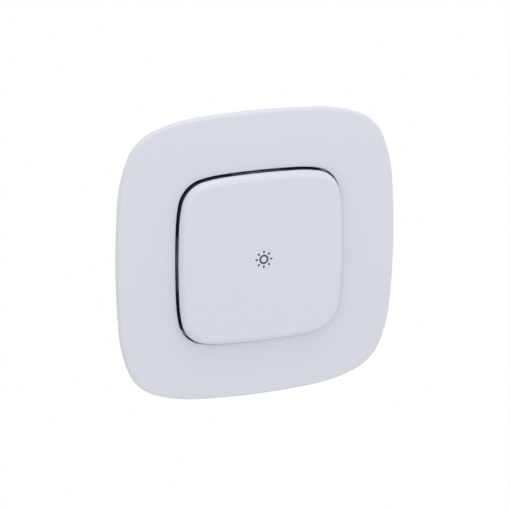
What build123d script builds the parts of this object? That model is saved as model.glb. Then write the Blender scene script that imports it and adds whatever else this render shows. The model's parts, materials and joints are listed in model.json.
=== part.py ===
from build123d import *
from math import acos, atan, cos, degrees, pi, radians, sin, sqrt
import os

# Smart dimmer switch for a round flush box, screwed on at 60 mm centres.
# Millimetres. X runs right, Z up and -Y out of the wall. The wall plane Y = 0 is the back face of
# the mounting strap. Names ending in _front or _back are distances in front of that plane, so
# everything inside the wall box has a negative one.

# Cover plate: a domed rounded square with an undercut rim
plate_width = 94.0
plate_side_radius = 275.0
plate_side_turn = 4.4
plate_shoulder_radius = 46.0
plate_corner_radius = 15.0
plate_wall = 1.7
plate_dome_radius = 741.0
plate_edge_radius = 1.0
plate_lift = 2.95
rim_undercut_height = 3.0
rim_undercut = 2.5
rim_width = 1.8
opening_edge_radius = 0.2
collar_wall = 1.5
collar_clearance = 0.3
hook_offset = 15.0
hook_width = 6.0
hook_thickness = 1.2
hook_barb = 0.7
hook_clearance = 0.2
hook_tip_height = 0.5

# Rocker: white cap clipped on a black carrier that tilts about the X axis
button_width = 55.28
button_side_radius = 258.0
button_side_turn = 2.75
button_shoulder_radius = 45.0
button_corner_radius = 9.05
button_gap = 0.6
cap_height = 2.65
cap_wall = 1.4
cap_edge_radius = 2.1
cap_dome_radius = 1400.0
skirt_inset = 0.1
skirt_height = 4.24
skirt_wall = 1.2
web_thickness = 1.1
clip_length = 18.0
clip_thickness = 1.1
clip_barb_height = 1.3
clip_barb_setback = 0.25
clip_clearance = 0.2
rocker_tilt = 2.0
press_clearance = 0.6
light_hole_radius = 2.4

# Hinge of the rocker: trunnion pins in two bearing ears
pin_radius = 1.0
pin_clearance = 0.05
lug_radius = 1.5
lug_thickness = 1.6
lug_place = 17.6
lug_clearance = 0.2
lug_foot_width = 6.0
ear_side_gap = 0.3
ear_thickness = 2.6
ear_width = 6.4
ear_roof = 0.85
pin_overhang = 0.3

# Contact plungers on sprung rubber domes, above and below the hinge
plunger_place = 14.0
plunger_radius = 2.6
plunger_crown = 0.35
plunger_clearance = 0.05
plunger_rest_gap = 0.05
plunger_collar_radius = 3.4
plunger_collar_height = 1.0
plunger_lift = 0.6
guide_wall = 1.25
guide_rim_drop = 0.55
pad_radius = 3.0
pad_height = 0.75
contact_gap = 0.55
contact_pad_radius = 1.9
contact_pad_thickness = 0.1
pill_radius = 1.2
pill_height = 0.5
spring_dome_radius = 4.2
spring_dome_top_radius = 2.2
spring_dome_foot = 0.9
spring_dome_foot_height = 0.4
spring_dome_wall = 0.5
spring_dome_gap = 0.02

# Clip frame that carries the cover plate
frame_overhang = 2.0
frame_corner_radius = 12.0
frame_thickness = 1.8
frame_plate_gap = 0.5
frame_window_gap = 0.8
screw_notch_width = 9.0
screw_notch_depth = 4.4
peg_width = 3.0
peg_inset = 5.0
peg_clearance = 0.1

# Mounting strap with its two pairs of box screw holes
strap_margin = 3.8
strap_thickness = 1.2
strap_corner_radius = 4.0
strap_window_gap = 0.5
box_screw_spacing = 60.0
box_hole_radius = 1.7

# Insert housing and its front cover
housing_width = 46.0
housing_corner_radius = 11.0
housing_wall = 1.6
housing_edge_radius = 1.2
ledge_reach = 2.0
ledge_width = 16.0
ledge_height = 2.0
ledge_chamfer = 1.2
flange_lap = 2.0
flange_thickness = 0.8
spigot_length = 3.6
spigot_wall = 1.2
spigot_clearance = 0.15
post_radius = 2.8
post_wall_overlap = 0.2
post_clearance = 0.2
screw_radius = 1.2
screw_length = 8.0
screw_head_radius = 2.0
screw_head_height = 1.2
screw_head_chamfer = 0.4
screw_slot_width = 0.6
screw_slot_depth = 0.6
screw_clearance = 0.1
thread_clearance = 0.03
rib_reach = 1.2
rib_width = 4.0
shelf_reach = 2.6
shelf_width = 2.4
shelf_place = 6.5

# Circuit boards and what they carry
board_thickness = 1.6
board_clearance = 0.4
board_corner_clearance = 0.4
board_spacing = 6.4
power_board_clearance = 0.2
floor_clearance = 0.8
led_width = 2.0
led_depth = 1.3
led_height = 0.7
light_guide_radius = 1.5
light_guide_clearance = 0.05
light_guide_collar_radius = 2.3
light_guide_collar_height = 0.6
light_guide_led_gap = 0.2
light_guide_web_gap = 0.3
can_width = 11.0
can_length = 13.0
can_height = 2.0
can_wall = 0.2
chip_width = 7.0
chip_height = 0.9
chip_place = 11.0
header_pin_count = 6
header_pitch = 2.0
header_pin_width = 0.6
header_pin_clearance = 0.05
header_strip_width = 2.4
header_strip_height = 2.4
header_margin = 4.0
spreader_width = 26.0
spreader_thickness = 1.5
spreader_wall_gap = 0.3
transistor_width = 10.0
transistor_depth = 4.4
transistor_height = 8.6
transistor_place = 6.5
transistor_lead_pitch = 2.5
lead_width = 0.8
lead_length = 1.0
column_gap = 4.0
row_gap = 1.2
film_capacitor_length = 13.0
film_capacitor_width = 6.0
film_capacitor_height = 9.0
film_capacitor_edge_radius = 0.75
storage_capacitor_radius = 4.0
storage_capacitor_height = 9.4
storage_capacitor_chamfer = 0.5
choke_radius = 6.0
choke_bore_radius = 3.2
choke_height = 5.0
winding_thickness = 0.6
winding_clearance = 0.05
winding_turns = 14
winding_turn_angle = 14.0
fuse_radius = 1.8
fuse_length = 9.0
varistor_radius = 4.4
varistor_thickness = 3.6
varistor_chamfer = 0.9
varistor_lead_place = 2.2
terminal_pitch = 7.0
terminal_count = 4
cage_width = 5.6
cage_depth = 6.2
cage_length = 8.2
cage_wall = 1.0
terminal_screw_radius = 1.3
terminal_screw_length = 3.4
terminal_head_radius = 2.2
terminal_head_height = 1.4
terminal_head_gap = 0.2
terminal_slot_width = 0.7
terminal_slot_depth = 0.7
wire_entry_width = 3.6
wire_entry_funnel = 0.5
screw_port_width = 3.8
port_corner_radius = 0.6

# Widths, from the insert outwards
housing_half = housing_width / 2
flange_half = housing_half + flange_lap
strap_window_half = housing_half + strap_window_gap
strap_width = box_screw_spacing + 2 * (box_hole_radius + strap_margin)
frame_width = strap_width + 2 * frame_overhang
peg_place = strap_width / 2 - peg_inset
opening_half = button_width / 2 + button_gap
skirt_half = button_width / 2 - skirt_inset
lug_end = lug_place + lug_thickness
ear_start = lug_end + ear_side_gap
ear_end = ear_start + ear_thickness

# Faces of the stack, from the wall plane outwards
strap_front = strap_thickness
flange_front = strap_front + flange_thickness
frame_front = strap_front + frame_thickness
opening_front = frame_front + plate_lift
plate_apex = opening_front + opening_half ** 2 / (2 * plate_dome_radius)
hinge_front = flange_front + lug_clearance + lug_radius
skirt_back = strap_front + skirt_half * sin(radians(rocker_tilt)) + press_clearance
cap_back = skirt_back + skirt_height
cap_front = cap_back + cap_height
web_back = cap_back - web_thickness
pad_front = web_back - pad_height
plunger_front = pad_front - plunger_rest_gap
plunger_shoulder = plunger_front - plunger_crown
guide_front = plunger_shoulder - guide_rim_drop

# Faces of the stack, from the wall plane into the box
control_front = strap_front - spigot_length
control_back = control_front - board_thickness
power_front = control_back - board_spacing
power_back = power_front - board_thickness
pill_back = control_front + contact_pad_thickness + contact_gap
pill_front = pill_back + pill_height
spring_dome_front = pill_front + spring_dome_wall
plunger_back = spring_dome_front + spring_dome_gap
plunger_collar_front = plunger_back + plunger_collar_height
guide_back = plunger_collar_front + plunger_lift
tallest_component = max(film_capacitor_height, storage_capacitor_height, 2 * varistor_radius + lead_length,
                        transistor_height + lead_length, cage_length + lead_length,
                        choke_height + 2 * winding_thickness)
cavity_floor = power_back - tallest_component - floor_clearance
housing_back = cavity_floor - housing_wall
transistor_back = power_back - lead_length - transistor_height

# Places inside the insert
cavity_half = housing_half - housing_wall
cavity_corner_radius = housing_corner_radius - housing_wall
rib_face = cavity_half - rib_reach
control_half = cavity_half - board_clearance
power_half = rib_face - power_board_clearance
post_reach = cavity_corner_radius - post_radius + post_wall_overlap
post_place = cavity_half - cavity_corner_radius + post_reach / sqrt(2)
post_places = [(sx * post_place, sz * post_place) for sx in (-1, 1) for sz in (-1, 1)]
board_diagonal = post_place * sqrt(2) - post_radius - board_corner_clearance
header_place = power_half - header_margin
spreader_face = cavity_half - spreader_wall_gap - spreader_thickness
upper_row = spreader_face - transistor_depth - row_gap
lower_row = upper_row - max(film_capacitor_width, 2 * storage_capacitor_radius) - row_gap
winding_reach = choke_radius + winding_thickness + winding_clearance
choke_place = lower_row - winding_reach
fuse_place = lower_row - fuse_radius
varistor_place = fuse_place - fuse_radius - row_gap - varistor_thickness / 2
terminal_places = [(i - (terminal_count - 1) / 2) * terminal_pitch for i in range(terminal_count)]
cage_outer = -(cavity_half - terminal_head_gap - terminal_head_height)


def in_front(distance):
    """Sketch plane parallel to the wall: local x runs right and local y up."""
    return Plane.XZ.offset(distance)


def slab(sketch, back, front):
    """Solid with this outline, between two distances in front of the wall."""
    return extrude(in_front(back) * sketch, amount=front - back)


def bar(sketch, left, right):
    """Solid along X from a sketch whose local x is the distance behind the wall and local y is up."""
    return extrude(Plane.YZ.offset(left) * sketch, amount=right - left)


def column(sketch, bottom, top):
    """Solid along Z from a sketch whose local y is the distance behind the wall."""
    return extrude(Plane.XY.offset(bottom) * sketch, amount=top - bottom)


def arc(middle, radius, start, end):
    """Arc about a point, between two angles."""
    angles = (start, (start + end) / 2, end)
    return ThreePointArc(*[(middle[0] + radius * cos(a), middle[1] + radius * sin(a)) for a in angles])


def rounded_square(half, side_radius, side_turn, shoulder_radius, corner_radius, inset):
    """Outline of tangent side, shoulder and corner arcs, moved inwards by the inset."""
    side_end = radians(side_turn)
    side_middle = (half - side_radius, 0)
    step = side_radius - shoulder_radius
    shoulder_middle = (side_middle[0] + step * cos(side_end), step * sin(side_end))
    step = shoulder_radius - corner_radius
    shoulder_end = acos((shoulder_middle[1] - shoulder_middle[0]) / (sqrt(2) * step)) - pi / 4
    corner = shoulder_middle[0] + step * cos(shoulder_end)
    quarter = [
        arc(side_middle, side_radius - inset, -side_end, side_end),
        arc(shoulder_middle, shoulder_radius - inset, side_end, shoulder_end),
        arc((corner, corner), corner_radius - inset, shoulder_end, pi / 2 - shoulder_end),
        arc(shoulder_middle[::-1], shoulder_radius - inset, pi / 2 - shoulder_end, pi / 2 - side_end),
    ]
    return make_face([Rot(0, 0, 90 * turn) * piece for turn in range(4) for piece in quarter])


def plate_outline(inset):
    """Outline of the cover plate, moved inwards by this much."""
    return rounded_square(plate_width / 2, plate_side_radius, plate_side_turn, plate_shoulder_radius,
                          plate_corner_radius, inset)


def inside_plate():
    """Room for the clip frame and the strap inside the cover plate's rim."""
    return plate_outline(rim_undercut + rim_width + frame_plate_gap)


def button_outline(inset):
    """Outline of the button, moved inwards by this much (outwards if negative)."""
    return rounded_square(button_width / 2, button_side_radius, button_side_turn, button_shoulder_radius,
                          button_corner_radius, inset)


def dome(front, radius):
    """Ball whose foremost point lies this far in front of the wall."""
    return Pos(0, radius - front, 0) * Sphere(radius)


def front_rim(solid):
    """Edges around the foremost face."""
    return solid.faces().sort_by(Axis.Y)[0].edges()


def four_turns(shape):
    """The shape and its copies on the other three sides."""
    return [Rot(0, 90 * turn, 0) * shape for turn in range(4)]


def board_outline(half):
    """Square board whose corners are cut off to clear the screw posts."""
    return Rectangle(2 * half, 2 * half) & Rot(0, 0, 45) * Rectangle(2 * board_diagonal, 2 * board_diagonal)


def make_cover_plate():
    """Domed shell with an undercut rim, a collared opening and eight snap hooks."""
    ball = dome(plate_apex, plate_dome_radius)
    face = slab(plate_outline(0), rim_undercut_height, plate_apex) & ball
    face = fillet(front_rim(face), plate_edge_radius)
    undercut_angle = degrees(atan(rim_undercut / rim_undercut_height))
    rim = extrude(in_front(rim_undercut_height) * plate_outline(0), amount=-rim_undercut_height,
                  taper=undercut_angle)
    collar_back = frame_front + collar_clearance
    hollow = slab(plate_outline(rim_undercut + rim_width), 0, plate_apex)
    hollow &= dome(plate_apex - plate_wall, plate_dome_radius - plate_wall)
    hollow -= slab(button_outline(-button_gap - collar_wall), collar_back, plate_apex)
    plate = face + rim - hollow - slab(button_outline(-button_gap), 0, plate_apex)
    opening_edges = plate.faces().sort_by(Axis.Y)[0].inner_wires()[0].edges()
    return fillet(opening_edges, opening_edge_radius) + plate_hooks()


def plate_hooks():
    """Snap hooks that reach round the edge of the clip frame."""
    inner = frame_width / 2 + hook_clearance
    outer = inner + hook_thickness
    barb = inner - hook_clearance - hook_barb
    reach = sqrt(outer ** 2 + (hook_offset + hook_width / 2) ** 2)
    root = plate_apex - plate_wall / 2 - reach ** 2 / (2 * plate_dome_radius)
    barb_front = strap_front - hook_clearance
    profile = Polyline((outer, hook_tip_height), (outer, root), (inner, root), (inner, barb_front),
                       (barb, barb_front), (inner, hook_tip_height), close=True)
    section = Plane.XY * Rot(180, 0, 0) * make_face(profile)
    hook = extrude(section, amount=hook_width / 2, both=True)
    pair = [Pos(0, 0, side * hook_offset) * hook for side in (-1, 1)]
    return [copy for hook in pair for copy in four_turns(hook)]


def make_rocker_cap():
    """White shell, crowned and rounded over, with four clip tongues inside its rim."""
    shell = slab(button_outline(0), cap_back, cap_front) & dome(cap_front, cap_dome_radius)
    shell = fillet(front_rim(shell), cap_edge_radius)
    hollow = slab(button_outline(cap_wall), cap_back, cap_front)
    hollow &= dome(cap_front - cap_wall, cap_dome_radius - cap_wall)
    ceiling = cap_front - cap_wall - (button_width / 2) ** 2 / (2 * cap_dome_radius)
    outer = skirt_half - skirt_wall - clip_clearance
    tongue = Pos(outer - clip_thickness / 2, 0) * Rectangle(clip_thickness, clip_length)
    barb_reach = skirt_half - clip_barb_setback
    barb = button_outline(skirt_inset + clip_barb_setback)
    barb &= Pos(outer + barb_reach / 2 - clip_thickness / 2, 0) * Rectangle(barb_reach, clip_length)
    barb_front = web_back - 2 * clip_clearance
    barb_back = barb_front - clip_barb_height
    clip = slab(tongue, barb_back, ceiling + cap_wall / 2) + slab(barb, barb_back, barb_front)
    return shell - hollow + four_turns(clip)


def make_rocker_carrier():
    """Black tray under the cap: skirt, web, clip windows, plunger pads and trunnions."""
    inner = skirt_half - skirt_wall
    tray = slab(button_outline(skirt_inset), skirt_back, cap_back)
    tray -= slab(button_outline(skirt_inset + skirt_wall), skirt_back, web_back)
    tray -= slab(Circle(light_hole_radius), web_back, cap_back)
    window_front = web_back - clip_clearance
    window_back = window_front - clip_barb_height - 2 * clip_clearance
    length = clip_length + 2 * clip_clearance
    opening = Pos(inner + skirt_wall / 2, 0) * Rectangle(2 * skirt_wall, length)
    window = slab(opening, window_back, window_front)
    slot_width = clip_thickness + 2 * clip_clearance
    slot = slab(Pos(inner - slot_width / 2, 0) * Rectangle(slot_width, length), web_back, cap_back)
    tray -= four_turns(window) + four_turns(slot)
    for side in (-1, 1):
        tray += slab(Pos(0, side * plunger_place) * Circle(pad_radius), pad_front, web_back)
    foot = Polyline((-hinge_front, -lug_radius), (-web_back, -lug_foot_width / 2),
                    (-web_back, lug_foot_width / 2), (-hinge_front, lug_radius), close=True)
    lug = bar(make_face(foot) + Pos(-hinge_front, 0) * Circle(lug_radius), lug_place, lug_end)
    pin = bar(Pos(-hinge_front, 0) * Circle(pin_radius), lug_end, ear_end + pin_overhang)
    trunnion = lug + chamfer(pin.faces().sort_by(Axis.X)[-1].edges(), pin_overhang)
    return tray + trunnion + mirror(trunnion, about=Plane.YZ)


def turned(section, place):
    """Turned solid along Y; its section gives radius and distance in front of the wall."""
    return Pos(0, 0, place) * Rot(90, 0, 0) * revolve(Plane.XZ * section, axis=Axis.Z)


def make_plunger(place):
    """Pin with a crowned head and a collar that keeps it behind its guide."""
    ball = (plunger_radius ** 2 + plunger_crown ** 2) / (2 * plunger_crown)
    middle = plunger_radius / 2
    middle_front = plunger_front - ball + sqrt(ball ** 2 - middle ** 2)
    side = Polyline((0, plunger_front), (0, plunger_back), (plunger_collar_radius, plunger_back),
                    (plunger_collar_radius, plunger_collar_front), (plunger_radius, plunger_collar_front),
                    (plunger_radius, plunger_shoulder))
    crown = ThreePointArc((plunger_radius, plunger_shoulder), (middle, middle_front), (0, plunger_front))
    return turned(make_face(side.edges() + [crown]), place)


def make_spring_dome(place):
    """Rubber dome on the control board that pushes its plunger back."""
    foot_front = control_front + spring_dome_foot_height
    cone_radius = spring_dome_radius - spring_dome_foot
    inner_radius = cone_radius - spring_dome_wall
    inner_top = spring_dome_top_radius - spring_dome_wall
    section = Polyline((0, spring_dome_front), (spring_dome_top_radius, spring_dome_front),
                       (cone_radius, foot_front), (spring_dome_radius, foot_front),
                       (spring_dome_radius, control_front), (inner_radius, control_front),
                       (inner_top, pill_front), (0, pill_front), close=True)
    return turned(make_face(section), place)


def make_front_cover():
    """Flanged lid of the insert with bearing ears, plunger guides and a clamping spigot."""
    flange_corner = housing_corner_radius + flange_lap
    cover = slab(RectangleRounded(2 * flange_half, 2 * flange_half, flange_corner), strap_front, flange_front)
    outer = cavity_half - spigot_clearance
    corner = cavity_corner_radius - spigot_clearance
    ring = RectangleRounded(2 * outer, 2 * outer, corner)
    ring -= RectangleRounded(2 * (outer - spigot_wall), 2 * (outer - spigot_wall), corner - spigot_wall)
    ring -= [Pos(*place) * Circle(post_radius + post_clearance) for place in post_places]
    cover += slab(ring, control_front, strap_front)
    bore = plunger_radius + plunger_clearance
    for side in (-1, 1):
        centre = Pos(0, side * plunger_place)
        cover += slab(centre * Circle(bore + guide_wall), guide_back, guide_front)
        cover -= slab(centre * Circle(bore), guide_back, guide_front)
    ear_top = hinge_front + pin_radius + pin_clearance + ear_roof
    ear_shape = Pos(-(flange_front + ear_top) / 2, 0) * Rectangle(ear_top - flange_front, ear_width)
    ear = bar(ear_shape, ear_start, ear_end)
    ear = fillet(ear.edges().filter_by(Axis.X).sort_by(Axis.Y)[:2], ear_roof)
    ear_bore = bar(Pos(-hinge_front, 0) * Circle(pin_radius + pin_clearance), ear_start, ear_end)
    cover += [ear, mirror(ear, about=Plane.YZ)]
    cover -= [ear_bore, mirror(ear_bore, about=Plane.YZ)]
    holes = [Pos(*place) * Circle(screw_radius + screw_clearance) for place in post_places]
    holes.append(Circle(light_guide_radius + light_guide_clearance))
    return cover - [slab(hole, strap_front, flange_front) for hole in holes]


def make_rear_housing():
    """Deep box with screw posts, board ribs, strap ledges, wire entries and screw ports."""
    outside = RectangleRounded(housing_width, housing_width, housing_corner_radius)
    inside = RectangleRounded(2 * cavity_half, 2 * cavity_half, cavity_corner_radius)
    box = slab(outside, housing_back, strap_front)
    box = fillet(box.faces().sort_by(Axis.Y)[-1].edges(), housing_edge_radius)
    box -= slab(inside, cavity_floor, strap_front)
    posts = [slab(Pos(*place) * Circle(post_radius), cavity_floor, strap_front) for place in post_places]
    foot = Pos(housing_half + ledge_reach / 2, 0) * Rectangle(ledge_reach, ledge_width)
    ledge = slab(foot, -ledge_height, 0)
    ledge = chamfer(ledge.edges().filter_by(Axis.Z).sort_by(Axis.X)[-2:].sort_by(Axis.Y)[-1], ledge_chamfer)
    box += posts + four_turns(ledge)
    for side in (-1, 1):
        rib = Pos(side * (cavity_half - rib_reach / 2), 0) * Rectangle(rib_reach, rib_width)
        box += slab(rib, cavity_floor, control_back)
        for height in (-shelf_place, shelf_place):
            shelf = Pos(side * (cavity_half - shelf_reach / 2), height) * Rectangle(shelf_reach, shelf_width)
            box += slab(shelf, cavity_floor, power_back)
    pilots = [Pos(*place) * Circle(screw_radius + thread_clearance) for place in post_places]
    box -= [slab(pilot, flange_front - screw_length, strap_front) for pilot in pilots]
    entry = RectangleRounded(wire_entry_width, wire_entry_width, port_corner_radius)
    port = RectangleRounded(screw_port_width, screw_port_width, port_corner_radius)
    cage_middle = power_back - lead_length - cage_length / 2
    mouth_width = wire_entry_width + 2 * wire_entry_funnel
    mouth = RectangleRounded(mouth_width, mouth_width, port_corner_radius + wire_entry_funnel)
    for place in terminal_places:
        centre = Pos(place, cage_outer + cage_depth / 2)
        box -= slab(centre * entry, housing_back, cavity_floor)
        box -= extrude(in_front(housing_back) * centre * mouth, amount=wire_entry_funnel, taper=45)
        box -= column(Pos(place, -cage_middle) * port, -housing_half, -cavity_half)
    return box


def make_mounting_strap():
    """Stamped steel strap with a window for the insert and a hole for a box screw on each side."""
    window = RectangleRounded(2 * strap_window_half, 2 * strap_window_half,
                              housing_corner_radius + strap_window_gap)
    sheet = (RectangleRounded(strap_width, strap_width, strap_corner_radius) & inside_plate()) - window
    for turn in range(4):
        sheet -= Rot(0, 0, 90 * turn) * Pos(box_screw_spacing / 2, 0) * Circle(box_hole_radius)
    hole = peg_width + 2 * peg_clearance
    sheet -= [Pos(sx * peg_place, sz * peg_place) * Rectangle(hole, hole) for sx in (-1, 1) for sz in (-1, 1)]
    return slab(sheet, 0, strap_front)


def make_plate_carrier():
    """Clip frame on the strap, notched round the box screws, with pegs in the strap's corners."""
    ring = RectangleRounded(frame_width, frame_width, frame_corner_radius) & inside_plate()
    ring -= button_outline(-frame_window_gap)
    depth = 2 * (screw_notch_depth + box_hole_radius)
    notch = Pos(box_screw_spacing / 2 + screw_notch_depth - depth / 2, 0)
    notch *= RectangleRounded(depth, screw_notch_width, screw_notch_depth / 2)
    for turn in range(4):
        ring -= Rot(0, 0, 90 * turn) * notch
    frame = slab(ring, strap_front, frame_front)
    for sx in (-1, 1):
        for sz in (-1, 1):
            peg = Pos(sx * peg_place, sz * peg_place) * Rectangle(peg_width, peg_width)
            frame += slab(peg, 0, strap_front)
    return frame


def make_housing_screws():
    """Four pan-head screws that close the insert."""
    screws = []
    for place in post_places:
        head_front = flange_front + screw_head_height
        shank = slab(Pos(*place) * Circle(screw_radius), flange_front - screw_length, flange_front)
        head = slab(Pos(*place) * Circle(screw_head_radius), flange_front, head_front)
        head = chamfer(head.faces().sort_by(Axis.Y)[0].edges(), screw_head_chamfer)
        slot = Pos(*place) * Rectangle(2 * screw_head_radius, screw_slot_width)
        head -= slab(slot, head_front - screw_slot_depth, head_front)
        screws.append(shank + head)
    return screws


def make_light_guide():
    """Clear rod from the status light to the hole in the rocker's web."""
    rod_back = control_front + led_height + light_guide_led_gap
    rod = slab(Circle(light_guide_radius), rod_back, web_back - light_guide_web_gap)
    collar_front = flange_front + light_guide_collar_height
    return rod + slab(Circle(light_guide_collar_radius), flange_front, collar_front)


def make_header():
    """Plastic strip and square pins that join the two boards."""
    places = [(i - (header_pin_count - 1) / 2) * header_pitch for i in range(header_pin_count)]
    hole_width = header_pin_width + 2 * header_pin_clearance
    strip = Pos(0, header_place) * Rectangle(header_pin_count * header_pitch, header_strip_width)
    strip -= [Pos(x, header_place) * Rectangle(hole_width, hole_width) for x in places]
    pin = Rectangle(header_pin_width, header_pin_width)
    pins = [slab(Pos(x, header_place) * pin, power_front, control_back) for x in places]
    return slab(strip, control_back - header_strip_height, control_back), pins


def make_radio_can():
    """Folded shield can over the radio, open towards the board."""
    place = Pos(-chip_place, 0)
    can = slab(place * Rectangle(can_width, can_length), control_front, control_front + can_height)
    inside = place * Rectangle(can_width - 2 * can_wall, can_length - 2 * can_wall)
    return can - slab(inside, control_front, control_front + can_height - can_wall)


def leads(places, height):
    """Thin square leads down to the back of the power board."""
    return [slab(Pos(*place) * Rectangle(lead_width, lead_width), power_back - height, power_back)
            for place in places]


def make_transistors():
    """Two power transistors flat against the heat spreader."""
    group = []
    for side in (-1, 1):
        middle = (side * transistor_place, spreader_face - transistor_depth / 2)
        body = slab(Pos(*middle) * Rectangle(transistor_width, transistor_depth), transistor_back,
                    transistor_back + transistor_height)
        spots = [(middle[0] + step * transistor_lead_pitch, middle[1]) for step in (-1, 0, 1)]
        for lead in leads(spots, lead_length):
            body += lead
        group.append(body)
    return group


def make_choke():
    """Ring core lying on the power board, and the spaced turns of its winding."""
    clearance = winding_thickness + winding_clearance
    centre = Pos(-column_gap / 2 - winding_reach, choke_place)
    core_front = power_back - clearance
    ring = Circle(choke_radius) - Circle(choke_bore_radius)
    core = slab(centre * ring, core_front - choke_height, core_front)
    outer = Circle(choke_radius + clearance) - Circle(choke_bore_radius - clearance)
    inner = Circle(choke_radius + winding_clearance) - Circle(choke_bore_radius - winding_clearance)
    choke_back = power_back - choke_height - 2 * clearance
    bulk = slab(centre * outer, choke_back, power_back)
    bulk -= slab(centre * inner, choke_back + winding_thickness, power_back - winding_thickness)
    half_width = choke_bore_radius * sin(radians(winding_turn_angle) / 2)
    blade = Pos(choke_radius / 2 + choke_bore_radius / 2, 0) * Rectangle(choke_radius, 2 * half_width)
    pitch = 360 / (winding_turns + 2)
    turns = [slab(centre * Rot(0, 0, (i + 1) * pitch) * blade, choke_back, power_back)
             for i in range(winding_turns)]
    return core, [bulk & turn for turn in turns]


def make_fuse():
    """Axial fuse lying across the board on two leads."""
    left = column_gap / 2
    level = -(power_back - lead_length - fuse_radius)
    body = bar(Pos(level, fuse_place) * Circle(fuse_radius), left, left + fuse_length)
    spots = [(left + lead_width, fuse_place), (left + fuse_length - lead_width, fuse_place)]
    for lead in leads(spots, lead_length + fuse_radius):
        body += lead
    return body


def make_varistor():
    """Disc varistor standing on two leads."""
    centre = column_gap / 2 + varistor_radius
    level = -(power_back - lead_length - varistor_radius)
    disc = column(Pos(centre, level) * Circle(varistor_radius), varistor_place - varistor_thickness / 2,
                  varistor_place + varistor_thickness / 2)
    disc = chamfer(disc.edges().filter_by(GeomType.CIRCLE), varistor_chamfer)
    spots = [(centre + side * varistor_lead_place, varistor_place) for side in (-1, 1)]
    for lead in leads(spots, lead_length + varistor_radius):
        disc += lead
    return disc


def make_terminals():
    """Brass clamp cages open towards the back, and the screws that close them."""
    cages = []
    screws = []
    front = power_back - lead_length
    middle = front - cage_length / 2
    for place in terminal_places:
        centre = Pos(place, cage_outer + cage_depth / 2)
        cage = slab(centre * Rectangle(cage_width, cage_depth), front - cage_length, front)
        cage -= slab(centre * Rectangle(cage_width - 2 * cage_wall, cage_depth - 2 * cage_wall),
                     front - cage_length, front - cage_wall)
        spot = Pos(place, -middle)
        thread = Circle(terminal_screw_radius + thread_clearance)
        cage -= column(spot * thread, cage_outer, cage_outer + cage_wall)
        for lead in leads([(place, cage_outer + cage_depth - lead_width)], lead_length):
            cage += lead
        cages.append(cage)
        shank = column(spot * Circle(terminal_screw_radius), cage_outer, cage_outer + terminal_screw_length)
        head_bottom = cage_outer - terminal_head_height
        head = column(spot * Circle(terminal_head_radius), head_bottom, cage_outer)
        slot = spot * Rectangle(2 * terminal_head_radius, terminal_slot_width)
        head -= column(slot, head_bottom, head_bottom + terminal_slot_depth)
        screws.append(shank + head)
    return cages, screws


def make_capacitors():
    """Film capacitor left and storage capacitor right, in the upper row of the power board."""
    film_place = Pos(-column_gap / 2 - film_capacitor_length / 2, upper_row - film_capacitor_width / 2)
    film = slab(film_place * Rectangle(film_capacitor_length, film_capacitor_width),
                power_back - film_capacitor_height, power_back)
    film = fillet(film.edges().filter_by(Axis.Y), film_capacitor_edge_radius)
    can_place = Pos(column_gap / 2 + storage_capacitor_radius, upper_row - storage_capacitor_radius)
    can_back = power_back - storage_capacitor_height
    can = slab(can_place * Circle(storage_capacitor_radius), can_back, power_back)
    can = chamfer(can.faces().sort_by(Axis.Y)[-1].edges(), storage_capacitor_chamfer)
    return film, can


def build_parts():
    """Every piece of the switch by its node name."""
    header_strip, header_pins = make_header()
    choke_core, choke_winding = make_choke()
    cages, terminal_screws = make_terminals()
    film_capacitor, storage_capacitor = make_capacitors()
    spreader = Pos(0, spreader_face + spreader_thickness / 2) * Rectangle(spreader_width, spreader_thickness)
    pads = [Pos(0, side * plunger_place) * Circle(contact_pad_radius) for side in (-1, 1)]
    parts = {
        "cover_plate": make_cover_plate(),
        "plate_carrier": make_plate_carrier(),
        "mounting_strap": make_mounting_strap(),
        "rocker_cap": make_rocker_cap(),
        "rocker_carrier": make_rocker_carrier(),
        "front_cover": make_front_cover(),
        "rear_housing": make_rear_housing(),
        "housing_screws": make_housing_screws(),
        "light_guide": make_light_guide(),
        "control_board": slab(board_outline(control_half), control_back, control_front),
        "contact_pads": [slab(pad, control_front, control_front + contact_pad_thickness) for pad in pads],
        "status_led": slab(Rectangle(led_width, led_depth), control_front, control_front + led_height),
        "radio_shield_can": make_radio_can(),
        "microcontroller": slab(Pos(chip_place, 0) * Rectangle(chip_width, chip_width), control_front,
                                control_front + chip_height),
        "header_strip": header_strip,
        "header_pins": header_pins,
        "power_board": slab(board_outline(power_half), power_back, power_front),
        "heat_spreader": slab(spreader, transistor_back, transistor_back + transistor_height),
        "power_transistors": make_transistors(),
        "film_capacitor": film_capacitor,
        "storage_capacitor": storage_capacitor,
        "choke_core": choke_core,
        "choke_winding": choke_winding,
        "fuse": make_fuse(),
        "varistor": make_varistor(),
        "terminal_cages": cages,
        "terminal_screws": terminal_screws,
    }
    for name, side in (("upper", 1), ("lower", -1)):
        place = side * plunger_place
        parts[name + "_plunger"] = make_plunger(place)
        parts[name + "_contact_pill"] = slab(Pos(0, place) * Circle(pill_radius), pill_back, pill_front)
        parts[name + "_spring_dome"] = make_spring_dome(place)
    return parts


os.makedirs("parts", exist_ok=True)
for node, piece in build_parts().items():
    solids = piece if isinstance(piece, list) else [piece]
    bodies = [solid for item in solids for solid in item.solids()]
    export_step(bodies[0] if len(bodies) == 1 else Compound(bodies), "parts/" + node + ".step")
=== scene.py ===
import json
from math import acos, cos, pi, radians, sin, sqrt
import bmesh
import bpy
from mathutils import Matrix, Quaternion, Vector


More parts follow.
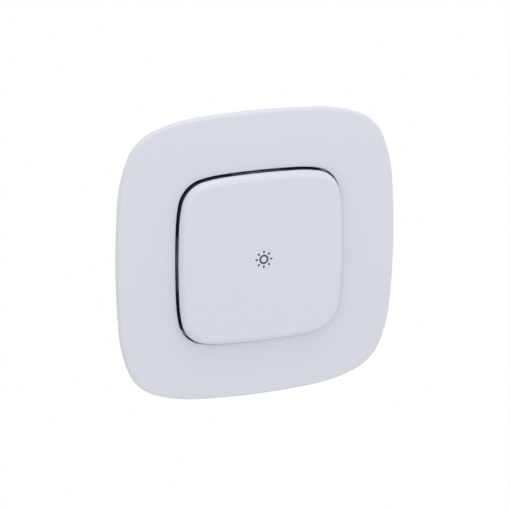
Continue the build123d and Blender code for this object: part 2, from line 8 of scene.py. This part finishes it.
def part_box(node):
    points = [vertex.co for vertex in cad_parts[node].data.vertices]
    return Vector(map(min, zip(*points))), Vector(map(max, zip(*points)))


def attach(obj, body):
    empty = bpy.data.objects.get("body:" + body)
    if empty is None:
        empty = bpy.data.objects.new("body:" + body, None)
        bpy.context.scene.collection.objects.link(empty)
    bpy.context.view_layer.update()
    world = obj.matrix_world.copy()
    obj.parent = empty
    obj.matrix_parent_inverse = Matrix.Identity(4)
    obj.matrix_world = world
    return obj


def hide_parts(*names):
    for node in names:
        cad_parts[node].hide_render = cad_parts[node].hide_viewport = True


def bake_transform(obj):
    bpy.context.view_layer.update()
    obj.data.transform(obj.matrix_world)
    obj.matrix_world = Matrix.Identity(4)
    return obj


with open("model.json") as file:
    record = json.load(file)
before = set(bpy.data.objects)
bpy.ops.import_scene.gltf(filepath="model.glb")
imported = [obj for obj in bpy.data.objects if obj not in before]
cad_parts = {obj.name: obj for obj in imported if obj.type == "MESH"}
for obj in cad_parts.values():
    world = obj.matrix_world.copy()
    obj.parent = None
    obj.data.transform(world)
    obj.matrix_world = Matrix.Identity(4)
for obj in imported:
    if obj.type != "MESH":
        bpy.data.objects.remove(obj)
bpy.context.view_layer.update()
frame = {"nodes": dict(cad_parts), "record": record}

# Smart dimmer switch, in metres. X runs right, Z up and -Y out of the wall. A depth is a distance in
# front of the wall plane, so a point at depth d has the coordinate y = -d.
MM = 0.001

# Form of the cover plate, as in the CAD, with the turn in degrees
PLATE_SIDE_RADIUS = 275 * MM
PLATE_SIDE_TURN = 4.4
PLATE_SHOULDER_RADIUS = 46 * MM
PLATE_CORNER_RADIUS = 15 * MM
PLATE_DOME_RADIUS = 741 * MM
PLATE_WALL = 1.7 * MM
PLATE_EDGE_RADIUS = 1.0 * MM
RIM_UNDERCUT_HEIGHT = 3.0 * MM
RIM_UNDERCUT = 2.5 * MM
RIM_WIDTH = 1.8 * MM
OPENING_EDGE_RADIUS = 0.2 * MM
COLLAR_WALL = 1.5 * MM
COLLAR_CLEARANCE = 0.3 * MM
HOOK_OFFSET = 15 * MM
HOOK_WIDTH = 6 * MM
HOOK_THICKNESS = 1.2 * MM
HOOK_BARB = 0.7 * MM
HOOK_CLEARANCE = 0.2 * MM
HOOK_TIP = 0.5 * MM

# Form of the button cap, as in the CAD, with the turn in degrees
BUTTON_SIDE_RADIUS = 258 * MM
BUTTON_SIDE_TURN = 2.75
BUTTON_SHOULDER_RADIUS = 45 * MM
BUTTON_CORNER_RADIUS = 9.05 * MM
BUTTON_GAP = 0.6 * MM
CAP_HEIGHT = 2.65 * MM
CAP_WALL = 1.4 * MM
CAP_EDGE_RADIUS = 2.1 * MM
CAP_DOME_RADIUS = 1400 * MM
SKIRT_INSET = 0.1 * MM
SKIRT_WALL = 1.2 * MM
WEB_THICKNESS = 1.1 * MM
CLIP_LENGTH = 18 * MM
CLIP_THICKNESS = 1.1 * MM
CLIP_BARB_HEIGHT = 1.3 * MM
CLIP_BARB_SETBACK = 0.25 * MM
CLIP_CLEARANCE = 0.2 * MM

# Form of the rubber spring domes under the plungers, as in the CAD
SPRING_DOME_TOP_RADIUS = 2.2 * MM
SPRING_DOME_FOOT = 0.9 * MM
SPRING_DOME_FOOT_HEIGHT = 0.4 * MM
SPRING_DOME_WALL = 0.5 * MM

# Brightness symbol printed on the button
SYMBOL_RING_RADIUS = 1.25 * MM
SYMBOL_RAY_START = 2.0 * MM
SYMBOL_RAY_END = 2.9 * MM
SYMBOL_STROKE = 0.6 * MM
SYMBOL_RAYS = 8
INK_HEIGHT = 0.02 * MM

# Steps along the outlines and profiles of the meshes
SIDE_STEPS = 20
SHOULDER_STEPS = 14
CORNER_STEPS = 28
EDGE_STEPS = 10
DOME_STEPS = 16
ROUND_STEPS = 64

# Fine edges, and the joining of the CAD's facets before them
FINE_BEVEL = 0.12 * MM
THIN_BEVEL = 0.03 * MM
THIN_NODES = {"contact_pads", "radio_shield_can"}
BEVEL_SEGMENTS = 2
SHARP_ANGLE = radians(32)
WELD_REACH = 1e-6
FLAT_ANGLE = radians(0.5)

# Noise in the materials: the clouds' scale as a share of the fine grain's, the detail of both, and the part of
# the noise's range that is in use
CLOUD_SHARE = 0.2
CLOUD_DETAIL = 4
FINE_DETAIL = 3
NOISE_RANGE = (0.3, 0.7)

# Finishes: grain in spots per metre, relief in metres, shade as a share of the colour
PLASTIC_GRAIN = 4500
METAL_GRAIN = 4000
METAL_RELIEF = 2e-6
METAL_SHADE = 0.05
CLEAR_TRANSMISSION = 0.9
CLEAR_IOR = 1.49

# Camera, fitted to the outlines in the photo, with angles in degrees
CAMERA_DISTANCE = 0.8543
CAMERA_YAW = 21.56
CAMERA_PITCH = 17.76
CAMERA_ROLL = 0.33
CAMERA_LENS = 190.7
CAMERA_SHIFT = (-0.00457, -0.0015)
CAMERA_TARGET_DEPTH = 4.0 * MM

# Studio, with the name, place, size and power of each lamp
WHITE = (1, 1, 1, 1)
AMBIENT_LEVEL = 0.84
FLOOR_DROP = 0.8
FLOOR_REACH = 4.0
FLOOR_COLOUR = (0.86, 0.86, 0.86, 1)
FLOOR_ROUGHNESS = 0.9
LAMPS = (
    ("top_box", (0, -0.25, 1.3), 0.8, 3.6),
    ("front_box", (-0.3, -1.35, 0.45), 0.6, 1.6),
    ("right_box", (0.6, -1.25, 0.3), 0.6, 1.2),
)

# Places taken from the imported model
plate_low, plate_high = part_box("cover_plate")
cap_low, cap_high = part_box("rocker_cap")
frame_low, frame_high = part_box("plate_carrier")
plate_half = (plate_high.x - plate_low.x) / 2
button_half = (cap_high.x - cap_low.x) / 2
frame_half = (frame_high.x - frame_low.x) / 2
frame_front = -frame_low.y
strap_front = -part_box("mounting_strap")[0].y
cap_front = -cap_low.y
cap_back = cap_front - CAP_HEIGHT
opening_half = button_half + BUTTON_GAP


def arc_points(middle, radius, start, end, steps):
    """Points along an arc about a point, without its last one."""
    angles = [start + (end - start) * i / steps for i in range(steps)]
    return [(middle[0] + radius * cos(a), middle[1] + radius * sin(a)) for a in angles]


def circle(radius):
    """Points round a circle about the origin."""
    return arc_points((0, 0), radius, 0, 2 * pi, ROUND_STEPS)


def rounded_square(half, side_radius, side_turn, shoulder_radius, corner_radius, inset):
    """Points (x, z) along tangent side, shoulder and corner arcs, moved inwards by the inset."""
    side_end = radians(side_turn)
    side_middle = (half - side_radius, 0)
    step = side_radius - shoulder_radius
    shoulder_middle = (side_middle[0] + step * cos(side_end), step * sin(side_end))
    step = shoulder_radius - corner_radius
    shoulder_end = acos((shoulder_middle[1] - shoulder_middle[0]) / (sqrt(2) * step)) - pi / 4
    corner = shoulder_middle[0] + step * cos(shoulder_end)
    arcs = (
        (side_middle, side_radius, -side_end, side_end, SIDE_STEPS),
        (shoulder_middle, shoulder_radius, side_end, shoulder_end, SHOULDER_STEPS),
        ((corner, corner), corner_radius, shoulder_end, pi / 2 - shoulder_end, CORNER_STEPS),
        (shoulder_middle[::-1], shoulder_radius, pi / 2 - shoulder_end, pi / 2 - side_end, SHOULDER_STEPS),
    )
    quarter = []
    for middle, radius, start, end, steps in arcs:
        quarter += arc_points(middle, radius - inset, start, end, steps)
    points = []
    for _ in range(4):
        points += quarter
        quarter = [(-z, x) for x, z in quarter]
    return points


def plate_ring(inset):
    """Outline of the cover plate, moved inwards."""
    return rounded_square(plate_half, PLATE_SIDE_RADIUS, PLATE_SIDE_TURN, PLATE_SHOULDER_RADIUS,
                          PLATE_CORNER_RADIUS, inset)


def button_ring(inset):
    """Outline of the button, moved inwards (outwards if negative)."""
    return rounded_square(button_half, BUTTON_SIDE_RADIUS, BUTTON_SIDE_TURN, BUTTON_SHOULDER_RADIUS,
                          BUTTON_CORNER_RADIUS, inset)


def between(ring_a, ring_b, share):
    """Outline part of the way from one ring to another."""
    return [(xa + (xb - xa) * share, za + (zb - za) * share) for (xa, za), (xb, zb) in zip(ring_a, ring_b)]


def flat_row(ring, depth):
    """Ring of points at one depth."""
    return [(x, -depth, z) for x, z in ring]


def behind_apex(x, z, radius):
    """How far a ball's front lies behind its foremost point."""
    return radius - sqrt(radius ** 2 - x ** 2 - z ** 2)


def domed_row(ring, apex, radius, drop=0.0):
    """Ring of points on a ball's front, or this much behind it."""
    return [(x, behind_apex(x, z, radius) - apex + drop, z) for x, z in ring]


def rounded_edge(ring_at, apex, dome_radius, edge_radius):
    """Rows over a rounded edge, from the wall to the domed face."""
    rows = []
    for i in range(EDGE_STEPS + 1):
        angle = pi / 2 * i / EDGE_STEPS
        inset = edge_radius * (1 - cos(angle))
        rows.append(domed_row(ring_at(inset), apex, dome_radius, edge_radius * (1 - sin(angle))))
    return rows


def skin(mesh, rows, closed):
    """Faces between neighbouring rows; a closed skin also joins the last row to the first."""
    loops = [[mesh.verts.new(point) for point in row] for row in rows]
    pairs = list(zip(loops, loops[1:]))
    if closed:
        pairs.append((loops[-1], loops[0]))
    for a, b in pairs:
        for i in range(len(a)):
            j = (i + 1) % len(a)
            mesh.faces.new((a[i], a[j], b[j], b[i]))
    return loops


def cap_off(mesh, loop, point):
    """Fan of triangles from a ring to one point."""
    centre = mesh.verts.new(point)
    for i in range(len(loop)):
        mesh.faces.new((loop[i], loop[(i + 1) % len(loop)], centre))


def prism(mesh, sections):
    """Solid through equal sections, closed at both ends."""
    loops = skin(mesh, sections, closed=False)
    mesh.faces.new(loops[0])
    mesh.faces.new(loops[-1])


def quarter_turn(point, turn):
    """Point turned about the Y axis by quarter turns."""
    x, y, z = point
    for _ in range(turn):
        x, z = -z, x
    return x, y, z


def smooth_group():
    """Geometry nodes that shade smooth across shallow edges and keep the steep ones sharp."""
    group = bpy.data.node_groups.new("smooth_by_angle", "GeometryNodeTree")
    group.interface.new_socket("Geometry", in_out="INPUT", socket_type="NodeSocketGeometry")
    group.interface.new_socket("Geometry", in_out="OUTPUT", socket_type="NodeSocketGeometry")
    nodes = group.nodes
    entry = nodes.new("NodeGroupInput")
    leave = nodes.new("NodeGroupOutput")
    angle = nodes.new("GeometryNodeInputMeshEdgeAngle")
    shallow = nodes.new("FunctionNodeCompare")
    shallow.operation = "LESS_THAN"
    shallow.inputs[1].default_value = SHARP_ANGLE
    edges = nodes.new("GeometryNodeSetShadeSmooth")
    edges.domain = "EDGE"
    faces = nodes.new("GeometryNodeSetShadeSmooth")
    faces.domain = "FACE"
    join = group.links.new
    join(angle.outputs["Unsigned Angle"], shallow.inputs[0])
    join(entry.outputs["Geometry"], edges.inputs["Geometry"])
    join(shallow.outputs["Result"], edges.inputs["Shade Smooth"])
    join(edges.outputs["Geometry"], faces.inputs["Geometry"])
    join(faces.outputs["Geometry"], leave.inputs["Geometry"])
    return group


SMOOTH = smooth_group()


def bevel_edges(obj, width):
    """Small rounded edges and smooth shading, as modifiers."""
    bevel = obj.modifiers.new("fine_edges", "BEVEL")
    bevel.width = width
    bevel.segments = BEVEL_SEGMENTS
    bevel.limit_method = "ANGLE"
    bevel.angle_limit = SHARP_ANGLE
    smooth = obj.modifiers.new("smooth", "NODES")
    smooth.node_group = SMOOTH
    weigh = obj.modifiers.new("weighted_normals", "WEIGHTED_NORMAL")
    weigh.keep_sharp = True


def add_object(name, data):
    """New object in the scene."""
    obj = bpy.data.objects.new(name, data)
    bpy.context.scene.collection.objects.link(obj)
    return obj


def finish_piece(mesh, name, slot):
    """Turn the built mesh into a piece of the scene."""
    bmesh.ops.recalc_face_normals(mesh, faces=mesh.faces)
    data = bpy.data.meshes.new(name)
    mesh.to_mesh(data)
    mesh.free()
    obj = add_object(name, data)
    obj.data.materials.append(MATERIALS[slot])
    return obj


def mottled(name, dark, light, roughness, grain, relief, metallic=0.0, stretch=(1, 1, 1)):
    """Material whose colour, gloss and surface vary finely."""
    material = bpy.data.materials.new(name)
    material.use_nodes = True
    nodes = material.node_tree.nodes
    join = material.node_tree.links.new
    shader = nodes["Principled BSDF"]
    shader.inputs["Metallic"].default_value = metallic
    place = nodes.new("ShaderNodeTexCoord")
    mapping = nodes.new("ShaderNodeMapping")
    mapping.inputs["Scale"].default_value = stretch
    join(place.outputs["Object"], mapping.inputs["Vector"])
    noises = []
    for scale, detail in ((grain * CLOUD_SHARE, CLOUD_DETAIL), (grain, FINE_DETAIL)):
        noise = nodes.new("ShaderNodeTexNoise")
        noise.inputs["Scale"].default_value = scale
        noise.inputs["Detail"].default_value = detail
        join(mapping.outputs["Vector"], noise.inputs["Vector"])
        noises.append(noise)
    cloud, fine = noises
    ramp = nodes.new("ShaderNodeValToRGB")
    for end, colour, position in zip(ramp.color_ramp.elements, (dark, light), NOISE_RANGE):
        end.color = (*colour, 1)
        end.position = position
    join(cloud.outputs["Fac"], ramp.inputs["Fac"])
    join(ramp.outputs["Color"], shader.inputs["Base Color"])
    gloss = nodes.new("ShaderNodeMapRange")
    gloss.inputs["From Min"].default_value, gloss.inputs["From Max"].default_value = NOISE_RANGE
    gloss.inputs["To Min"].default_value, gloss.inputs["To Max"].default_value = roughness
    join(fine.outputs["Fac"], gloss.inputs["Value"])
    join(gloss.outputs["Result"], shader.inputs["Roughness"])
    bump = nodes.new("ShaderNodeBump")
    bump.inputs["Distance"].default_value = relief
    join(fine.outputs["Fac"], bump.inputs["Height"])
    join(bump.outputs["Normal"], shader.inputs["Normal"])
    return material


def shades(colour, share):
    """The colour a little darker and a little lighter."""
    return dict(dark=tuple((1 - share) * c for c in colour), light=tuple((1 + share) * c for c in colour))


def plastic(colour, roughness=(0.42, 0.54), relief=4e-6, shade=0.03):
    """Finish of a moulded piece: one colour with faint shades and a fine grain."""
    return dict(shades(colour, shade), roughness=roughness, grain=PLASTIC_GRAIN, relief=relief)


def metal(colour, roughness, stretch=(1, 1, 1)):
    """Finish of bare or plated metal: faint shades, and a grain that can be drawn out into a brushed one."""
    return dict(shades(colour, METAL_SHADE), roughness=roughness, grain=METAL_GRAIN, relief=METAL_RELIEF,
                metallic=1.0, stretch=stretch)


def make_materials():
    """One finish for each material slot of the record."""
    finishes = {
        "white_plastic": plastic((0.688, 0.702, 0.770), roughness=(0.36, 0.42), relief=1e-6, shade=0.006),
        "black_plastic": plastic((0.028, 0.029, 0.035), roughness=(0.40, 0.52)),
        "anthracite_plastic": plastic((0.060, 0.062, 0.070)),
        "grey_plastic": plastic((0.35, 0.36, 0.38)),
        "housing_plastic": plastic((0.088, 0.092, 0.100), roughness=(0.48, 0.64), relief=1.0e-5),
        "clear_plastic": plastic((0.89, 0.91, 0.94), roughness=(0.06, 0.14), relief=1e-6),
        "led_resin": plastic((0.84, 0.80, 0.64), roughness=(0.12, 0.22)),
        "chip_resin": plastic((0.026, 0.026, 0.028), roughness=(0.50, 0.66)),
        "capacitor_case": plastic((0.64, 0.46, 0.065), roughness=(0.26, 0.38)),
        "capacitor_sleeve": plastic((0.024, 0.029, 0.062), roughness=(0.22, 0.34)),
        "fuse_ceramic": plastic((0.76, 0.74, 0.65), roughness=(0.20, 0.32)),
        "varistor_coating": plastic((0.027, 0.075, 0.28), roughness=(0.24, 0.36)),
        "circuit_board": plastic((0.016, 0.105, 0.050), roughness=(0.28, 0.42)),
        "ferrite": plastic((0.060, 0.060, 0.058), roughness=(0.55, 0.75), relief=1e-5),
        "carbon_rubber": plastic((0.019, 0.019, 0.019), roughness=(0.62, 0.78)),
        "silicone_rubber": plastic((0.52, 0.53, 0.52), roughness=(0.50, 0.62)),
        "zinc_steel": metal((0.56, 0.57, 0.59), (0.28, 0.42), stretch=(1, 1, 0.15)),
        "tinned_sheet": metal((0.67, 0.67, 0.66), (0.24, 0.38)),
        "aluminium_sheet": metal((0.72, 0.73, 0.75), (0.26, 0.42), stretch=(0.1, 1, 1)),
        "gold_plating": metal((0.83, 0.62, 0.27), (0.18, 0.30)),
        "copper_wire": metal((0.59, 0.25, 0.08), (0.18, 0.30)),
        "brass": metal((0.62, 0.45, 0.18), (0.22, 0.38)),
    }
    made = {name: mottled(name, **finish) for name, finish in finishes.items()}
    clear = made["clear_plastic"].node_tree.nodes["Principled BSDF"]
    clear.inputs["Transmission Weight"].default_value = CLEAR_TRANSMISSION
    clear.inputs["IOR"].default_value = CLEAR_IOR
    return made


MATERIALS = make_materials()


def add_hooks(mesh, apex):
    """Eight snap hooks that reach round the clip frame."""
    inner = frame_half + HOOK_CLEARANCE
    outer = inner + HOOK_THICKNESS
    barb = frame_half - HOOK_BARB
    reach = sqrt(outer ** 2 + (HOOK_OFFSET + HOOK_WIDTH / 2) ** 2)
    root = apex - PLATE_WALL / 2 - reach ** 2 / (2 * PLATE_DOME_RADIUS)
    barb_front = strap_front - HOOK_CLEARANCE
    outline = [(outer, HOOK_TIP), (outer, root), (inner, root), (inner, barb_front), (barb, barb_front),
               (inner, HOOK_TIP)]
    for turn in range(4):
        for side in (-1, 1):
            ends = [side * HOOK_OFFSET + end * HOOK_WIDTH / 2 for end in (-1, 1)]
            prism(mesh, [[quarter_turn((x, -depth, z), turn) for x, depth in outline] for z in ends])


def make_cover_plate():
    """Domed shell with an undercut rim, rounded edges, a collared opening and snap hooks."""
    apex = -plate_low.y + behind_apex(opening_half, 0, PLATE_DOME_RADIUS)
    inner_apex = apex - PLATE_WALL
    inner_radius = PLATE_DOME_RADIUS - PLATE_WALL
    collar_back = frame_front + COLLAR_CLEARANCE
    rim_inner = plate_ring(RIM_UNDERCUT + RIM_WIDTH)
    edge_ring = plate_ring(PLATE_EDGE_RADIUS)
    lip_ring = button_ring(-BUTTON_GAP - OPENING_EDGE_RADIUS)
    opening = button_ring(-BUTTON_GAP)
    collar = button_ring(-BUTTON_GAP - COLLAR_WALL)
    rows = [flat_row(rim_inner, 0), flat_row(plate_ring(RIM_UNDERCUT), 0),
            flat_row(plate_ring(0), RIM_UNDERCUT_HEIGHT)]
    rows += rounded_edge(plate_ring, apex, PLATE_DOME_RADIUS, PLATE_EDGE_RADIUS)
    for i in range(1, DOME_STEPS):
        rows.append(domed_row(between(edge_ring, lip_ring, i / DOME_STEPS), apex, PLATE_DOME_RADIUS))
    lip = rounded_edge(lambda inset: button_ring(-BUTTON_GAP - inset), apex, PLATE_DOME_RADIUS,
                       OPENING_EDGE_RADIUS)
    rows += reversed(lip)
    rows += [flat_row(opening, collar_back), flat_row(collar, collar_back)]
    for i in range(DOME_STEPS + 1):
        rows.append(domed_row(between(collar, rim_inner, i / DOME_STEPS), inner_apex, inner_radius))
    mesh = bmesh.new()
    skin(mesh, rows, closed=True)
    add_hooks(mesh, apex)
    plate = finish_piece(mesh, "cover_plate_shell", "white_plastic")
    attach(plate, "wall_unit")
    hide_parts("cover_plate")
    bevel_edges(plate, FINE_BEVEL)


def add_clips(mesh, web_back):
    """Four clip tongues with barbs that follow the button's outline."""
    skirt_half = button_half - SKIRT_INSET
    skirt_radius = BUTTON_SIDE_RADIUS - SKIRT_INSET
    outer = skirt_half - SKIRT_WALL - CLIP_CLEARANCE
    inner = outer - CLIP_THICKNESS
    ceiling = cap_front - CAP_WALL / 2 - button_half ** 2 / (2 * CAP_DOME_RADIUS)
    barb_front = web_back - 2 * CLIP_CLEARANCE
    barb_back = barb_front - CLIP_BARB_HEIGHT
    for turn in range(4):
        sections = []
        for i in range(EDGE_STEPS + 1):
            z = CLIP_LENGTH * (i / EDGE_STEPS - 0.5)
            reach = skirt_half - CLIP_BARB_SETBACK - z ** 2 / (2 * skirt_radius)
            outline = [(inner, ceiling), (outer, ceiling), (outer, barb_front), (reach, barb_front),
                       (reach, barb_back), (inner, barb_back)]
            sections.append([quarter_turn((x, -depth, z), turn) for x, depth in outline])
        prism(mesh, sections)


def make_button_cap():
    """Crowned shell with a rounded edge, open at the back, with clip tongues."""
    inner_ring = button_ring(CAP_WALL)
    face_ring = button_ring(CAP_EDGE_RADIUS)
    centre = [(0.0, 0.0)] * len(inner_ring)
    inner_apex = cap_front - CAP_WALL
    inner_radius = CAP_DOME_RADIUS - CAP_WALL
    rows = [domed_row(between(centre, inner_ring, (i + 1) / DOME_STEPS), inner_apex, inner_radius)
            for i in range(DOME_STEPS)]
    rows += [flat_row(inner_ring, cap_back), flat_row(button_ring(0), cap_back)]
    rows += rounded_edge(button_ring, cap_front, CAP_DOME_RADIUS, CAP_EDGE_RADIUS)
    rows += [domed_row(between(face_ring, centre, i / DOME_STEPS), cap_front, CAP_DOME_RADIUS)
             for i in range(1, DOME_STEPS)]
    mesh = bmesh.new()
    loops = skin(mesh, rows, closed=False)
    cap_off(mesh, loops[0], (0, -inner_apex, 0))
    cap_off(mesh, loops[-1], (0, -cap_front, 0))
    add_clips(mesh, -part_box("rocker_carrier")[0].y - WEB_THICKNESS)
    cap = finish_piece(mesh, "button_cap_shell", "white_plastic")
    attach(cap, "rocker")
    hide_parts("rocker_cap")
    bevel_edges(cap, FINE_BEVEL)


def ink_point(x, z, height):
    """Point this far in front of the button's crowned face."""
    return x, behind_apex(x, z, CAP_DOME_RADIUS) - cap_front - height, z


def make_symbol():
    """Printed brightness symbol: a ring with rays around it."""
    mesh = bmesh.new()
    half = SYMBOL_STROKE / 2
    rows = []
    for offset, height in ((-half, 0), (-half, INK_HEIGHT), (half, INK_HEIGHT), (half, 0)):
        rows.append([ink_point(x, z, height) for x, z in circle(SYMBOL_RING_RADIUS + offset)])
    skin(mesh, rows, closed=True)
    for ray in range(SYMBOL_RAYS):
        turn = 2 * pi * ray / SYMBOL_RAYS
        outline = []
        for end, start_angle in ((SYMBOL_RAY_END - half, -pi / 2), (SYMBOL_RAY_START + half, pi / 2)):
            for i in range(EDGE_STEPS + 1):
                angle = start_angle + pi * i / EDGE_STEPS
                outline.append((end + half * cos(angle), half * sin(angle)))
        turned = [(u * cos(turn) - v * sin(turn), u * sin(turn) + v * cos(turn)) for u, v in outline]
        prism(mesh, [[ink_point(x, z, height) for x, z in turned] for height in (0, INK_HEIGHT)])
    symbol = finish_piece(mesh, "brightness_symbol", "anthracite_plastic")
    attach(symbol, "rocker")


def make_spring_dome(node):
    """Rubber dome whose foot sits on the control board and whose top lies under its plunger."""
    low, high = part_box(node)
    middle = (low.z + high.z) / 2
    radius = (high.x - low.x) / 2
    front = -low.y
    seat = -high.y
    under_top = front - SPRING_DOME_WALL
    foot_front = seat + SPRING_DOME_FOOT_HEIGHT
    cone_radius = radius - SPRING_DOME_FOOT
    profile = [(SPRING_DOME_TOP_RADIUS - SPRING_DOME_WALL, under_top), (cone_radius - SPRING_DOME_WALL, seat),
               (radius, seat), (radius, foot_front), (cone_radius, foot_front), (SPRING_DOME_TOP_RADIUS, front)]
    rows = [[(x, -depth, middle + z) for x, z in circle(r)] for r, depth in profile]
    mesh = bmesh.new()
    loops = skin(mesh, rows, closed=False)
    cap_off(mesh, loops[0], (0, -under_top, middle))
    cap_off(mesh, loops[-1], (0, -front, middle))
    dome = finish_piece(mesh, node + "_rubber", "silicone_rubber")
    bevel_edges(dome, FINE_BEVEL)
    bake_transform(dome)
    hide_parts(node)


def dress_nodes(replaced):
    """Materials and fine edges for the CAD nodes that stay."""
    slots = {part["node"]: part["material_slot"] for part in frame["record"]["subparts"]}
    for name, obj in frame["nodes"].items():
        if name in replaced:
            continue
        obj.data.materials.clear()
        obj.data.materials.append(MATERIALS[slots[name]])
        weld = obj.modifiers.new("weld", "WELD")
        weld.merge_threshold = WELD_REACH
        flat = obj.modifiers.new("flat_faces", "DECIMATE")
        flat.decimate_type = "DISSOLVE"
        flat.angle_limit = FLAT_ANGLE
        bevel_edges(obj, THIN_BEVEL if name in THIN_NODES else FINE_BEVEL)


def light_or_white(tree, lit):
    """Shader that shows plain white to the camera and to reflections, and the lit one to all else."""
    nodes = tree.nodes
    join = tree.links.new
    path = nodes.new("ShaderNodeLightPath")
    shown = path.outputs["Is Camera Ray"]
    for ray in ("Is Glossy Ray", "Is Transmission Ray"):
        either = nodes.new("ShaderNodeMath")
        either.operation = "MAXIMUM"
        join(shown, either.inputs[0])
        join(path.outputs[ray], either.inputs[1])
        shown = either.outputs["Value"]
    mix = nodes.new("ShaderNodeMixShader")
    join(shown, mix.inputs["Fac"])
    join(lit, mix.inputs[1])
    return mix


def make_world():
    """Even white surroundings, dimmer as a light than as a background."""
    world = bpy.data.worlds.new("studio")
    bpy.context.scene.world = world
    world.use_nodes = True
    tree = world.node_tree
    ambient = tree.nodes["Background"]
    ambient.inputs["Color"].default_value = WHITE
    ambient.inputs["Strength"].default_value = AMBIENT_LEVEL
    white = tree.nodes.new("ShaderNodeBackground")
    white.inputs["Color"].default_value = WHITE
    mix = light_or_white(tree, ambient.outputs["Background"])
    tree.links.new(white.outputs["Background"], mix.inputs[2])
    tree.links.new(mix.outputs["Shader"], tree.nodes["World Output"].inputs["Surface"])


def make_floor():
    """Plain pale floor well below the switch."""
    level = plate_low.z - FLOOR_DROP
    corners = [(x * FLOOR_REACH, y * FLOOR_REACH, level) for x, y in ((-1, -1), (1, -1), (1, 1), (-1, 1))]
    data = bpy.data.meshes.new("floor")
    data.from_pydata(corners, [], [(0, 1, 2, 3)])
    floor = add_object("floor", data)
    material = bpy.data.materials.new("pale_floor")
    material.use_nodes = True
    tree = material.node_tree
    shader = tree.nodes["Principled BSDF"]
    shader.inputs["Base Color"].default_value = FLOOR_COLOUR
    shader.inputs["Roughness"].default_value = FLOOR_ROUGHNESS
    white = tree.nodes.new("ShaderNodeEmission")
    mix = light_or_white(tree, shader.outputs["BSDF"])
    tree.links.new(white.outputs["Emission"], mix.inputs[2])
    tree.links.new(mix.outputs["Shader"], tree.nodes["Material Output"].inputs["Surface"])
    data.materials.append(material)


def make_lamp(name, place, size, power):
    """Square soft box aimed at the switch."""
    data = bpy.data.lights.new(name, "AREA")
    data.size = size
    data.energy = power
    lamp = add_object(name, data)
    lamp.location = place
    lamp.rotation_euler = (-Vector(place)).to_track_quat("-Z", "Y").to_euler()


def make_camera():
    """Camera at the photo's angle."""
    yaw = radians(CAMERA_YAW)
    pitch = radians(CAMERA_PITCH)
    target = Vector((0, -CAMERA_TARGET_DEPTH, 0))
    away = Vector((-sin(yaw) * cos(pitch), -cos(yaw) * cos(pitch), sin(pitch)))
    data = bpy.data.cameras.new("photo_camera")
    data.lens = CAMERA_LENS
    data.shift_x, data.shift_y = CAMERA_SHIFT
    camera = add_object("photo_camera", data)
    camera.location = target + away * CAMERA_DISTANCE
    roll = Quaternion((0, 0, 1), radians(CAMERA_ROLL))
    camera.rotation_euler = ((-away).to_track_quat("-Z", "Y") @ roll).to_euler()
    bpy.context.scene.camera = camera


make_cover_plate()
make_button_cap()
make_symbol()
make_spring_dome("upper_spring_dome")
make_spring_dome("lower_spring_dome")
dress_nodes({"cover_plate", "rocker_cap", "upper_spring_dome", "lower_spring_dome"})
make_world()
make_floor()
for lamp in LAMPS:
    make_lamp(*lamp)
make_camera()
bpy.context.scene.view_settings.view_transform = "Standard"
